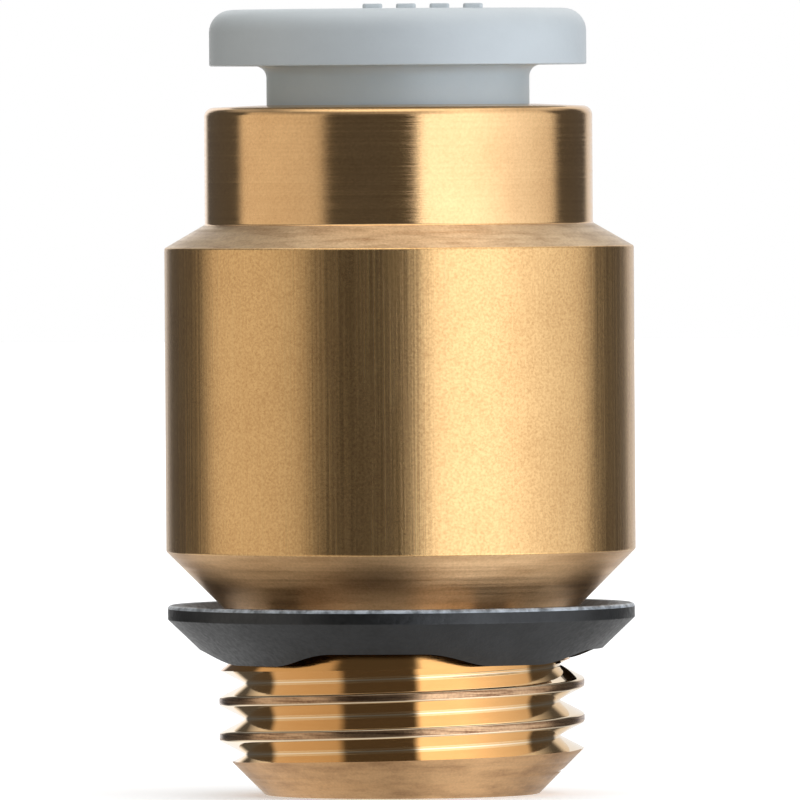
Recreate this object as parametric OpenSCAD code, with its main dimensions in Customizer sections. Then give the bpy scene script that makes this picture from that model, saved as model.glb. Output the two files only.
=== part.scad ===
// Push to connect fitting: a straight male connector with a hexagon socket inside its bore.
// Millimetres, +Z up along the tube's axis, origin at the centre of the threaded stud's end.

/* [Stud] */
// Diameter over the thread crests
thread_d = 9.34; // [9:0.02:9.8]
// Thread pitch, 28 turns to the inch
thread_pitch = 0.907; // [0.85:0.001:1]
// Depth of the thread groove
thread_depth = 0.62; // [0.5:0.01:0.7]
// Radius at the root of the thread groove
thread_root = 0.06; // [0.04:0.01:0.15]
// Half of the angle between the thread's flanks
thread_flank = 27.5; // [12:0.5:30]
// Direction in which the groove's middle meets the stud's end, in degrees
thread_start = 130; // [0:5:355]
// Height of the full thread above the stud's end
thread_len = 3.16; // [2.6:0.02:5]
// Height of the 45 degree chamfer on the stud's end
stud_chamfer = 1.17; // [0.8:0.01:1.3]
// Slope of the chamfer over the thread, in degrees
thread_top_slope = 39; // [30:1:50]
// Diameter of the relief over the thread
relief_d = 7.9; // [7.5:0.05:8]
// Height of the relief
relief_len = 0.45; // [0.35:0.01:0.8]

/* [Body] */
// Diameter of the barrel
barrel_d = 12; // [11.6:0.1:14]
// Height of the barrel's straight wall
barrel_len = 7.74; // [6.5:0.02:10]
// Slope of the sealing cone under the barrel, in degrees
seat_slope = 45; // [40:1:50]
// Slope of the shoulder over the barrel, in degrees
shoulder_slope = 30; // [20:1:45]
// Wall of the collar around the gripping parts
collar_wall = 0.71; // [0.55:0.01:0.9]
// Height of the collar's wall
collar_len = 2.9; // [2:0.05:4]
// Rounding of the collar's top edge
collar_round = 0.24; // [0.1:0.01:0.3]
// Rise of the crimped lip towards the button
lip_rise = 0.14; // [0:0.01:0.2]
// Thickness of the crimped lip
lip_thick = 0.55; // [0.4:0.01:0.8]

/* [Tube port] */
// Outside diameter of the tube that is pushed in
tube_d = 4; // [3.8:0.05:4.2]
// Gap between the tube and its pocket
tube_clear = 0.05; // [0.03:0.01:0.1]
// Depth of the tube's pocket below the seal
tube_pocket_len = 2.8; // [2:0.05:3.5]
// Width across the flats of the hexagon socket
hex_flats = 3; // [2.5:0.1:3.2]
// Diameter of the outlet in the stud
outlet_d = 3.9; // [3.5:0.05:4.2]
// Depth of the outlet below the hexagon socket
outlet_len = 2.2; // [1.5:0.05:3]
// Chamfer at the outlet's mouth
outlet_chamfer = 0.25; // [0.1:0.05:0.4]

/* [Seal] */
// Radial thickness of the tube seal's pocket
seal_section = 1.55; // [1.3:0.05:1.6]
// Height of the tube seal's pocket
seal_pocket_len = 2; // [1.6:0.05:2.4]
// Gap left all round the tube seal
seal_clear = 0.03; // [0.02:0.01:0.05]
// Width of each of the seal's two lips
seal_lip = 0.45; // [0.3:0.05:0.55]
// Depth of the groove between the seal's lips
seal_groove = 0.8; // [0.5:0.05:1]
// How far the seal's bore widens from its lip towards the chuck
seal_taper = 0.3; // [0.2:0.05:0.5]

/* [Release button] */
// Diameter of the button's flange
flange_d = 9.64; // [9:0.02:10]
// Thickness of the button's flange
flange_h = 1.44; // [1.2:0.02:1.8]
// Rounding of the flange's top edge
flange_round = 0.58; // [0.3:0.02:0.7]
// Diameter of the button's neck
neck_d = 6.72; // [6.5:0.02:7]
// Fillet between the neck and the flange
neck_fillet = 0.2; // [0.1:0.02:0.3]
// Gap around the neck in the body's mouth
neck_clear = 0.1; // [0.08:0.01:0.15]
// Travel of the button when it is pressed
press_stroke = 0.85; // [0.8:0.01:0.9]
// Gap left under the flange when the button is pressed
flange_gap = 0.15; // [0.1:0.01:0.3]
// Gap between the tube and the button's bore
bore_clear = 0.12; // [0.1:0.01:0.15]
// Lead-in chamfer at the mouth of the button's bore
entry_chamfer = 0.35; // [0.2:0.05:0.5]
// Height of the retaining bead over the neck
bead_step = 0.32; // [0.25:0.01:0.4]
// Thickness of the retaining bead
bead_h = 0.5; // [0.4:0.02:0.6]
// Wall of the button at the tip of its nose
nose_wall = 0.33; // [0.25:0.01:0.35]
// Height of the nose's cone
nose_len = 1.37; // [1.2:0.01:1.5]
// Gap between the nose and the fingers at rest
nose_gap = 0.25; // [0.23:0.01:0.3]
// Width of each raised bar on the flange
bar_w = 0.5; // [0.3:0.05:0.6]
// Length of each raised bar
bar_len = 0.7; // [0.4:0.05:0.9]
// Height of the raised bars
bar_h = 0.12; // [0.05:0.01:0.2]
// Distance from one raised bar to the next
bar_pitch = 0.85; // [0.7:0.05:0.9]
// Sideways offset of the row of raised bars
bar_offset = 0.64; // [-0.7:0.02:0.7]

/* [Gripping parts] */
// Wall of the guide ring
guide_wall = 0.46; // [0.35:0.01:0.6]
// Height of the guide ring
guide_len = 3; // [2.7:0.05:3.5]
// Thickness of the web that holds the button in
guide_web = 0.54; // [0.4:0.02:0.6]
// Gap around the retaining bead in the guide ring
bead_clear = 0.1; // [0.08:0.01:0.15]
// Gap around the chuck parts, which turn in the body
run_clear = 0.05; // [0.03:0.01:0.08]
// Height of the chuck holder
holder_len = 2.45; // [2.35:0.05:3]
// Thickness of the chuck holder's floor
holder_floor = 0.55; // [0.4:0.05:0.6]
// Width of the chuck ring
ring_w = 0.8; // [0.75:0.01:0.85]
// Thickness of the chuck ring
ring_thick = 0.25; // [0.2:0.01:0.3]
// Thickness of each chuck finger
finger_thick = 0.22; // [0.18:0.01:0.24]
// Slope of the fingers at rest, in degrees below the horizontal
finger_slope = 33; // [31:0.5:35]
// How far the fingers' tips reach inside the tube's wall
finger_bite = 0.13; // [0.08:0.01:0.18]
// Slot between neighbouring fingers
finger_slot = 0.35; // [0.3:0.01:0.45]

/* [Gasket] */
// Diameter of the gasket's rim
gasket_d = 11.94; // [11.4:0.02:12.4]
// Thickness of the rim
gasket_rim_h = 0.25; // [0.15:0.01:0.4]
// Width of the flat on top of the rim
gasket_rim_w = 0.36; // [0.2:0.02:0.5]
// Slope of the gasket's underside, in degrees
gasket_slope = 42; // [38:0.5:44]
// Diameter of the gasket's hole
gasket_hole_d = 10.3; // [10:0.05:10.5]
// Distance across the four flats in the hole
gasket_flats = 9.6; // [9.55:0.05:9.9]
// Direction of the first flat, in degrees
gasket_turn = 38; // [0:1:90]
// Distance across the tips of the retaining nibs
nib_tips = 8.5; // [8.3:0.05:8.7]
// Width of each retaining nib
nib_w = 1.2; // [0.8:0.1:1.6]
// Thickness of the retaining nibs
nib_h = 0.2; // [0.15:0.01:0.25]
// Gap between the nibs and the thread at rest
gasket_rest_gap = 0.06; // [0.03:0.01:0.1]
// Width of the gasket's steel core
core_w = 0.45; // [0.3:0.05:0.5]
// Height of the steel core's section
core_h = 0.2; // [0.1:0.02:0.24]
// Rubber left over the steel core
core_cover = 0.16; // [0.1:0.02:0.2]
// How far the steel core's edge stands out into the hole
core_show = 0.05; // [0.02:0.01:0.1]

/* [Hidden] */
$fn = 96;
finger_count = 12;
groove_steps = 32;
root_steps = 3;
groove_over = 0.06;
press_clear = 0.01;
seat_clear = 0.03;
sleeve_clear = 0.2;
hinge_gap = 0.02;
hinge_root = 0.16;
holder_relief = 0.15;
bead_gap = 0.05;
cut = 1;

function finger_name(i) = str("chuck_finger_", i < 10 ? "0" : "", i);

// Radii of the release button and of what holds it, from the inside out
tube_r = tube_d / 2;
pocket_r = tube_r + tube_clear;
bore_r = tube_r + bore_clear;
neck_r = neck_d / 2;
mouth_r = neck_r + neck_clear;
bead_r = neck_r + bead_step;
skirt_r = bead_r + bead_clear;
guide_r = skirt_r + guide_wall;
cavity_r = guide_r + press_clear;
collar_r = cavity_r + collar_wall;
barrel_r = barrel_d / 2;
flange_r = flange_d / 2;
holder_r = cavity_r - run_clear;
ring_in_r = holder_r - ring_w;
pivot_r = ring_in_r - hinge_gap;
sleeve_r = ring_in_r - sleeve_clear;
nose_r = bore_r + nose_wall;
seal_pocket_r = pocket_r + seal_section;

// Radii of the stud
crest_r = thread_d / 2;
root_r = crest_r - thread_depth;
stud_end_r = crest_r - stud_chamfer;
relief_r = relief_d / 2;
outlet_r = outlet_d / 2;

// Heights of the body's outside, from the stud's end up
z_relief = thread_len + (crest_r - relief_r) * tan(thread_top_slope);
z_cone = z_relief + relief_len;
z_barrel = z_cone + (barrel_r - relief_r) * tan(seat_slope);
z_shoulder = z_barrel + barrel_len;
z_collar = z_shoulder + (barrel_r - collar_r) * tan(shoulder_slope);
z_rim = z_collar + collar_len;
z_lip = z_rim + lip_rise;

// Heights of the body's inside, from the lip down
z_lip_under = z_lip - lip_thick;
z_guide_top = z_lip_under - press_clear;
z_guide = z_guide_top - guide_len;
z_ring_top = z_guide - run_clear;
z_ring = z_ring_top - ring_thick;
z_holder = z_ring - holder_len;
z_ledge = z_holder - seat_clear;
z_seal = z_ledge - seal_pocket_len;
z_stop = z_seal - tube_pocket_len;

// Heights of the release button
z_flange = z_lip + press_stroke + flange_gap;
z_top = z_flange + flange_h;
z_web = z_guide_top - guide_web;
z_bead_top = z_web - bead_gap;
z_bead = z_bead_top - bead_h;
z_sleeve = z_bead - (bead_r - sleeve_r);
pivot_z = z_ring + ring_thick / 2;
z_finger_top = pivot_z - (pivot_r - nose_r) * tan(finger_slope) + finger_thick / 2 / cos(finger_slope);
z_nose = z_finger_top + nose_gap;

// Fingers of the chuck
finger_len = (pivot_r - tube_r + finger_bite) / cos(finger_slope);
finger_root_r = pivot_r - hinge_root * cos(finger_slope);
finger_tip_r = tube_r - finger_bite;

// Gasket, which hangs by its nibs on the chamfer over the thread
rim_r = gasket_d / 2;
nib_r = nib_tips / 2;
flat_r = gasket_flats / 2;
hole_r = gasket_hole_d / 2;
z_nib = thread_len + (crest_r - nib_r) * tan(thread_top_slope) + gasket_rest_gap;
z_gasket_rim = z_nib + (rim_r - flat_r) * tan(gasket_slope);
z_gasket_top = z_gasket_rim + gasket_rim_h;
dish_r = rim_r - gasket_rim_w;
z_nib_top = z_nib + nib_h;
nib_top_r = dish_r - (z_gasket_top - z_nib_top) / tan(seat_slope);

// A closed turned shape from half of its section
module turned() {
    rotate_extrude() children();
}

// Ring of the groove's section at one turn of the helix, from the upper outer edge to the lower one
function groove_half(r) = thread_root * cos(thread_flank)
    + (r - root_r - thread_root * (1 - sin(thread_flank))) * tan(thread_flank);
function groove_section() = concat(
    [[crest_r + groove_over, groove_half(crest_r + groove_over)]],
    [for (i = [0 : root_steps])
        let (a = (90 - thread_flank) * (1 - 2 * i / root_steps))
        [root_r + thread_root * (1 - cos(a)), thread_root * sin(a)]],
    [[crest_r + groove_over, -groove_half(crest_r + groove_over)]]
);

// Right-hand helical groove that runs from below the stud's end into the relief
module thread_groove() {
    section = groove_section();
    count = len(section);
    z_first = -thread_pitch / 4;
    z_last = z_relief + relief_len / 2;
    steps = ceil((z_last - z_first) / thread_pitch * groove_steps);
    points = [for (k = [0 : steps], p = section)
        let (z = z_first + (z_last - z_first) * k / steps, a = thread_start + 360 * z / thread_pitch)
        [p[0] * cos(a), p[0] * sin(a), z + p[1]]];
    sides = [for (k = [0 : steps - 1], j = [0 : count - 1], half = [0, 1])
        let (n = (j + 1) % count, a = k * count + j, b = k * count + n, c = a + count, d = b + count)
        half == 0 ? [a, b, c] : [b, d, c]];
    first_cap = [for (j = [0 : count - 1]) count - 1 - j];
    last_cap = [for (j = [0 : count - 1]) steps * count + j];
    polyhedron(points, concat(sides, [first_cap, last_cap]));
}

// Half section of the body, up its outside and down through its bores
module body_section() {
    polygon([
        [outlet_r + outlet_chamfer, 0],
        [stud_end_r, 0],
        [crest_r, stud_chamfer],
        [crest_r, thread_len],
        [relief_r, z_relief],
        [relief_r, z_cone],
        [barrel_r, z_barrel],
        [barrel_r, z_shoulder],
        [collar_r, z_collar],
        [collar_r, z_rim - collar_round],
        [collar_r - collar_round, z_rim - collar_round],
        [collar_r - collar_round, z_rim],
        [mouth_r, z_lip],
        [mouth_r, z_lip_under],
        [cavity_r, z_lip_under],
        [cavity_r, z_ledge],
        [seal_pocket_r, z_ledge],
        [seal_pocket_r, z_seal],
        [pocket_r, z_seal],
        [pocket_r, z_stop],
        [0, z_stop],
        [0, outlet_len],
        [outlet_r, outlet_len],
        [outlet_r, outlet_chamfer]
    ]);
    translate([collar_r - collar_round, z_rim - collar_round]) circle(collar_round);
}

// Hexagon for the key that tightens the fitting through the tube's port
module hex_socket() {
    translate([0, 0, outlet_len - cut])
        cylinder(h = z_stop - outlet_len + 2 * cut, d = hex_flats / cos(30), $fn = 6);
}

module brass_body() {
    color("#c8a062")
    difference() {
        turned() body_section();
        hex_socket();
        thread_groove();
    }
}

// Ring under the lip that guides the button and keeps its bead in
module guide_ring() {
    color("#b4b8bc")
    turned() polygon([
        [skirt_r, z_guide],
        [guide_r, z_guide],
        [guide_r, z_guide_top],
        [mouth_r, z_guide_top],
        [mouth_r, z_web],
        [skirt_r, z_web]
    ]);
}

// Two-lipped ring, drawn as its inner lip lies around a pushed-in tube
module tube_seal() {
    in_r = tube_r + seal_clear;
    out_r = seal_pocket_r - seal_clear;
    z_low = z_seal + seal_clear;
    z_high = z_ledge - seal_clear;
    color("#3a3a3a")
    turned() polygon([
        [in_r, z_low],
        [in_r + seal_lip, z_low],
        [(in_r + out_r) / 2, z_low + seal_groove],
        [out_r - seal_lip, z_low],
        [out_r, z_low],
        [out_r, z_high],
        [in_r + seal_taper, z_high]
    ]);
}

// Cup that carries the chuck on the ledge over the seal
module chuck_holder() {
    hole_in_floor = pocket_r + neck_clear;
    cup_r = ring_in_r + holder_relief;
    color("#e6e3da")
    turned() polygon([
        [hole_in_floor, z_holder],
        [holder_r, z_holder],
        [holder_r, z_ring],
        [cup_r, z_ring],
        [cup_r, z_holder + holder_floor],
        [hole_in_floor, z_holder + holder_floor]
    ]);
}

module chuck_ring() {
    color("#c3c7cb")
    turned() translate([ring_in_r, z_ring]) square([ring_w, ring_thick]);
}

// One sprung tongue of the chuck, hinged where it leaves the ring
module chuck_finger(i) {
    half_step = 180 / finger_count;
    root_w = 2 * finger_root_r * tan(half_step) - finger_slot;
    tip_w = 2 * finger_tip_r * tan(half_step) - finger_slot;
    color("#d0d3d6")
    rotate([0, 0, (i - 1) * 360 / finger_count])
        translate([pivot_r, 0, pivot_z])
            rotate([0, -finger_slope, 0])
                linear_extrude(height = finger_thick, center = true)
                    polygon([
                        [-hinge_root, -root_w / 2],
                        [-hinge_root, root_w / 2],
                        [-finger_len, tip_w / 2],
                        [-finger_len, -tip_w / 2]
                    ]);
}

// Half section of the button: bore, nose, sleeve, bead, neck and flange
module button_section() {
    polygon([
        [bore_r, z_nose],
        [nose_r, z_nose],
        [sleeve_r, z_nose + nose_len],
        [sleeve_r, z_sleeve],
        [bead_r, z_bead],
        [bead_r, z_bead_top],
        [neck_r, z_bead_top],
        [neck_r, z_flange],
        [flange_r, z_flange],
        [flange_r, z_top - flange_round],
        [flange_r - flange_round, z_top - flange_round],
        [flange_r - flange_round, z_top],
        [bore_r + entry_chamfer, z_top],
        [bore_r, z_top - entry_chamfer]
    ]);
    translate([flange_r - flange_round, z_top - flange_round]) circle(flange_round);
    translate([neck_r, z_flange - neck_fillet]) difference() {
        square(neck_fillet);
        translate([neck_fillet, 0]) circle(neck_fillet);
    }
}

module release_button() {
    bar_count = 4;
    bar_row_r = (bore_r + entry_chamfer + flange_r - flange_round) / 2;
    color("#b9bfc1")
    union() {
        turned() button_section();
        for (i = [0 : bar_count - 1])
            translate([bar_offset + (i - (bar_count - 1) / 2) * bar_pitch, -bar_row_r, z_top])
                cube([bar_w, bar_len, 2 * bar_h], center = true);
    }
}

// Section of the steel core, a cone that lies along the gasket's dish
module core_section() {
    core_r = hole_r - core_show;
    z_core = z_gasket_top - (dish_r - core_r) * tan(seat_slope) - core_cover;
    rise = core_w * tan(seat_slope);
    polygon([
        [core_r, z_core - core_h],
        [core_r + core_w, z_core + rise - core_h],
        [core_r + core_w, z_core + rise],
        [core_r, z_core]
    ]);
}

// Outline of the gasket's hole: round, with four flats and a nib on each
module gasket_hole() {
    rotate(gasket_turn)
    difference() {
        intersection() {
            circle(hole_r);
            square(gasket_flats, center = true);
        }
        for (side = [0 : 3])
            rotate(90 * side)
                translate([nib_r, -nib_w / 2]) square([hole_r, nib_w]);
    }
}

module gasket_rubber() {
    color("#2e2f2f")
    difference() {
        turned() polygon([
            [nib_r, z_nib],
            [flat_r, z_nib],
            [rim_r, z_gasket_rim],
            [rim_r, z_gasket_top],
            [dish_r, z_gasket_top],
            [nib_top_r, z_nib_top],
            [nib_r, z_nib_top]
        ]);
        translate([0, 0, z_nib - cut])
            linear_extrude(height = z_gasket_top - z_nib + 2 * cut) gasket_hole();
        turned() core_section();
    }
}

module gasket_core() {
    color("#9ea2a6")
    turned() core_section();
}

brass_body();
guide_ring();
tube_seal();
chuck_holder();
chuck_ring();
for (i = [1 : finger_count])
    chuck_finger(i);
release_button();
gasket_rubber();
gasket_core();
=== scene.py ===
"""Looks of the push to connect fitting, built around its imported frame.

Sizes are in millimetres, as in the part's source, and each finished piece is brought to metres.
"""
import logging
import math
from dataclasses import dataclass
from enum import Enum
from typing import Callable, ClassVar, Sequence, Union

import bpy
from mathutils import Matrix, Quaternion, Vector


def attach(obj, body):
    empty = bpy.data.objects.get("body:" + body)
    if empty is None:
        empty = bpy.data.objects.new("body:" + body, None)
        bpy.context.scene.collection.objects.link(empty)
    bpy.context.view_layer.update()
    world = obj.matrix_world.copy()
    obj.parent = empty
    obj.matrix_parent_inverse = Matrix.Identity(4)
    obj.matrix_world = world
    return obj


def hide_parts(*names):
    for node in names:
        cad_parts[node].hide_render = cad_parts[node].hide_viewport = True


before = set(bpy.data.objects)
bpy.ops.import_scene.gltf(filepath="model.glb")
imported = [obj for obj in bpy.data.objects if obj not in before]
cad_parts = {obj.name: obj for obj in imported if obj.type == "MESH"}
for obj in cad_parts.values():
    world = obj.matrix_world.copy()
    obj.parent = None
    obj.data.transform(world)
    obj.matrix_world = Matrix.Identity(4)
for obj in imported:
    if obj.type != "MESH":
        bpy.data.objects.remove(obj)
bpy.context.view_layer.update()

MM = 0.001
LOG = logging.getLogger("fitting")

Colour = tuple[float, float, float]
Socket = bpy.types.NodeSocket
Feed = Union[float, Colour, Socket]
Piece = bpy.types.Object


@dataclass(frozen=True)
class Corner:
    """One corner of an outline, in mm: its place, and the radius that rounds it."""

    a: float
    b: float
    soft: float = 0.0

    @property
    def spot(self) -> Vector:
        """Return the corner's place."""
        return Vector((self.a, self.b))


class Cut(Enum):
    """How a tool body changes a piece."""

    TAKE_OFF = "DIFFERENCE"
    ADD_ON = "UNION"
    KEEP = "INTERSECT"


class Grain(Enum):
    """Which way the fine lines of the brass run."""

    TURNED = (0.12, 16.0, 0.25)
    DRAWN = (14.0, 0.10, 0.0)

    def __init__(self, across: float, up: float, shine_turn: float) -> None:
        """Name the parts of an option.

        Args:
            across: Lines in one mm across the axis.
            up: Lines in one mm along the axis.
            shine_turn: How far the drawn-out shine is turned, in whole turns.
        """
        self.across = across
        self.up = up
        self.shine_turn = shine_turn


class Zone(Enum):
    """Parts of the brass body with a finish of their own."""

    TURNED = "collar, lip and relief"
    DRAWN = "barrel"
    CONED = "cone under the barrel"
    SLOPED = "shoulder over the barrel"
    PARTED = "end chamfer"
    CREST = "thread crests"
    THREADED = "thread groove"
    EASED = "chamfer over the thread"
    BORED = "inside"


class Tint(Enum):
    """Colours of the light, as shares of red, green and blue."""

    WARM = (1.06, 1.0, 0.92)
    COOL = (0.96, 1.0, 1.07)
    PLAIN = (1.0, 1.0, 1.0)


def polar(r: float, angle: float) -> Vector:
    """Return the point at a radius and an angle in radians."""
    return Vector((math.cos(angle), math.sin(angle))) * r


def regular(r: float, count: int) -> list[Vector]:
    """Return the corners of a regular outline, from the x axis on."""
    return [polar(r, math.radians(360 / count * k)) for k in range(count)]


def rounded(corners: Sequence[Corner], arc_step: float = 12.0, least_steps: int = 3) -> list[Vector]:
    """Round the corners of a closed outline.

    Args:
        corners: The outline's corners in order.
        arc_step: The largest angle between neighbouring points of an arc, in degrees.
        least_steps: The smallest number of steps in an arc.

    Returns:
        The outline's points in the plane.
    """
    points: list[Vector] = []
    for i, corner in enumerate(corners):
        here = corner.spot
        if corner.soft <= 0:
            points.append(here)
            continue
        back = (corners[i - 1].spot - here).normalized()
        ahead = (corners[(i + 1) % len(corners)].spot - here).normalized()
        half = back.angle(ahead) / 2
        centre = here + (back + ahead).normalized() * (corner.soft / math.sin(half))
        first = here + back * (corner.soft / math.tan(half)) - centre
        last = here + ahead * (corner.soft / math.tan(half)) - centre
        start = math.atan2(first.y, first.x)
        sweep = math.atan2(first.x * last.y - first.y * last.x, first.dot(last))
        steps = max(least_steps, math.ceil(abs(math.degrees(sweep)) / arc_step))
        points += [centre + polar(corner.soft, start + sweep * k / steps) for k in range(steps + 1)]
    return points


class Bench:
    """Modelling steps on one piece at a time, in millimetres."""

    TURN_STEPS: ClassVar[int] = 240
    MERGE: ClassVar[float] = 1e-4
    EDGE_SEGMENTS: ClassVar[int] = 2
    CREASE_DEG: ClassVar[float] = 32.0

    @staticmethod
    def clear() -> None:
        """Leave edit mode, and leave nothing selected."""
        if bpy.context.mode != "OBJECT":
            bpy.ops.object.mode_set(mode="OBJECT")
        bpy.ops.object.select_all(action="DESELECT")

    @classmethod
    def take(cls, piece: Piece) -> None:
        """Make a piece the only selected one.

        Args:
            piece: The piece to work on.
        """
        cls.clear()
        piece.select_set(True)
        bpy.context.view_layer.objects.active = piece

    @classmethod
    def trace(cls, name: str, points: Sequence[Vector], closed: bool = True) -> Piece:
        """Draw an outline by extruding one vertex from point to point, and stay in edit mode.

        Args:
            name: The new piece's name.
            points: The outline's points in space.
            closed: Whether the outline returns to its first point.

        Returns:
            The new piece.
        """
        cls.clear()
        bpy.ops.mesh.primitive_plane_add(size=1.0)
        piece = bpy.context.object
        piece.name = piece.data.name = name
        bpy.ops.object.mode_set(mode="EDIT")
        bpy.ops.mesh.select_all(action="SELECT")
        bpy.ops.mesh.merge(type="CENTER")
        bpy.ops.transform.translate(value=points[0])
        ends = [*points[1:], points[0]] if closed else points[1:]
        for here, there in zip(points, ends):
            bpy.ops.mesh.extrude_region_move(TRANSFORM_OT_translate={"value": there - here})
        bpy.ops.mesh.select_all(action="SELECT")
        bpy.ops.mesh.remove_doubles(threshold=cls.MERGE)
        return piece

    @classmethod
    def close(cls) -> None:
        """In edit mode, merge doubles, turn all faces outwards, and leave edit mode."""
        bpy.ops.mesh.select_all(action="SELECT")
        bpy.ops.mesh.remove_doubles(threshold=cls.MERGE)
        bpy.ops.mesh.dissolve_degenerate(threshold=cls.MERGE)
        bpy.ops.mesh.select_all(action="SELECT")
        bpy.ops.mesh.normals_make_consistent(inside=False)
        cls.clear()

    @classmethod
    def turn(cls, name: str, corners: Sequence[Corner]) -> Piece:
        """Turn a closed half section round the axis.

        Args:
            name: The new piece's name.
            corners: The section's corners as radius and height.

        Returns:
            The turned piece.
        """
        piece = cls.trace(name, [Vector((p.x, 0.0, p.y)) for p in rounded(corners)])
        bpy.ops.mesh.select_all(action="SELECT")
        bpy.ops.mesh.spin(steps=cls.TURN_STEPS, angle=2 * math.pi, center=(0, 0, 0), axis=(0, 0, 1))
        cls.close()
        return piece

    @classmethod
    def prism(cls, name: str, outline: Sequence[Vector], low: float, high: float) -> Piece:
        """Raise a closed outline into a prism.

        Args:
            name: The new piece's name.
            outline: The outline's points in the plane.
            low: The height of the prism's foot.
            high: The height of its top.

        Returns:
            The prism.
        """
        piece = cls.trace(name, [Vector((p.x, p.y, low)) for p in outline])
        bpy.ops.mesh.edge_face_add()
        bpy.ops.mesh.extrude_region_move(TRANSFORM_OT_translate={"value": (0, 0, high - low)})
        cls.close()
        return piece

    @classmethod
    def threaded(cls, name: str, profile: Sequence[Vector], pitch: float, turns: int, steps: int) -> Piece:
        """Wind one pitch of a thread's profile into a solid right-hand threaded rod.

        Args:
            name: The new piece's name.
            profile: The profile's points as radius and height, from one crest's middle to the next.
            pitch: The rise of one turn.
            turns: The number of turns.
            steps: The number of facets in one turn.

        Returns:
            The rod.
        """
        piece = cls.trace(name, [Vector((p.x, 0.0, p.y)) for p in profile], closed=False)
        cls.take(piece)
        screw = piece.modifiers.new("helix", "SCREW")
        screw.angle = 2 * math.pi * turns
        screw.screw_offset = pitch * turns
        screw.steps = screw.render_steps = steps * turns
        bpy.ops.object.modifier_apply(modifier=screw.name)
        bpy.ops.object.mode_set(mode="EDIT")
        bpy.ops.mesh.select_all(action="SELECT")
        bpy.ops.mesh.remove_doubles(threshold=cls.MERGE)
        # Each open end gets one face, which is then split into triangles round its middle.
        bpy.ops.mesh.select_all(action="DESELECT")
        bpy.ops.mesh.select_mode(type="EDGE")
        bpy.ops.mesh.select_non_manifold(
            use_wire=False, use_multi_face=False, use_non_contiguous=False, use_verts=False,
        )
        bpy.ops.mesh.fill_holes(sides=0)
        bpy.ops.mesh.select_mode(type="FACE")
        bpy.ops.mesh.select_all(action="DESELECT")
        bpy.ops.mesh.select_face_by_sides(number=4, type="GREATER", extend=False)
        bpy.ops.mesh.poke()
        bpy.ops.mesh.select_mode(type="VERT")
        cls.close()
        return piece

    @classmethod
    def combine(cls, piece: Piece, tool: Piece, how: Cut) -> None:
        """Change a piece with a tool body, and remove the tool body.

        Args:
            piece: The piece that changes.
            tool: The tool body.
            how: The kind of change.
        """
        cls.take(piece)
        change = piece.modifiers.new("change", "BOOLEAN")
        change.operation = how.value
        change.solver = "EXACT"
        change.object = tool
        bpy.ops.object.modifier_apply(modifier=change.name)
        bpy.data.objects.remove(tool)

    @classmethod
    def soften(cls, piece: Piece, width: float, angle: float) -> None:
        """Break a piece's sharp edges.

        Args:
            piece: The piece that changes.
            width: The width of the broken edge.
            angle: Edges that turn by more than this many degrees are broken.
        """
        cls.take(piece)
        edge = piece.modifiers.new("edges", "BEVEL")
        edge.width = width
        edge.segments = cls.EDGE_SEGMENTS
        edge.limit_method = "ANGLE"
        edge.angle_limit = math.radians(angle)
        bpy.ops.object.modifier_apply(modifier=edge.name)

    @classmethod
    def done(cls, piece: Piece, place: Matrix = Matrix.Identity(4)) -> Piece:
        """Put a piece in its place in metres, and smooth it except at its creases.

        Args:
            piece: The finished piece.
            place: Where it goes, in mm.

        Returns:
            The same piece.
        """
        cls.take(piece)
        piece.matrix_world = Matrix.Scale(MM, 4) @ place
        bpy.ops.object.transform_apply(location=True, rotation=True, scale=True)
        bpy.ops.object.mode_set(mode="EDIT")
        bpy.ops.mesh.select_all(action="SELECT")
        bpy.ops.mesh.normals_make_consistent(inside=False)
        cls.take(piece)
        bpy.ops.object.shade_smooth_by_angle(angle=math.radians(cls.CREASE_DEG))
        even = piece.modifiers.new("normals", "WEIGHTED_NORMAL")
        even.mode = "FACE_AREA_WITH_ANGLE"
        even.keep_sharp = True
        bpy.ops.object.modifier_apply(modifier=even.name)
        cls.clear()
        return piece

    @classmethod
    def copy(cls, piece: Piece, name: str) -> Piece:
        """Copy a piece, with a mesh of its own.

        Args:
            piece: The pattern.
            name: The copy's name.

        Returns:
            The copy.
        """
        cls.take(piece)
        bpy.ops.object.duplicate(linked=False)
        twin = bpy.context.object
        twin.name = twin.data.name = name
        return twin


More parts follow.
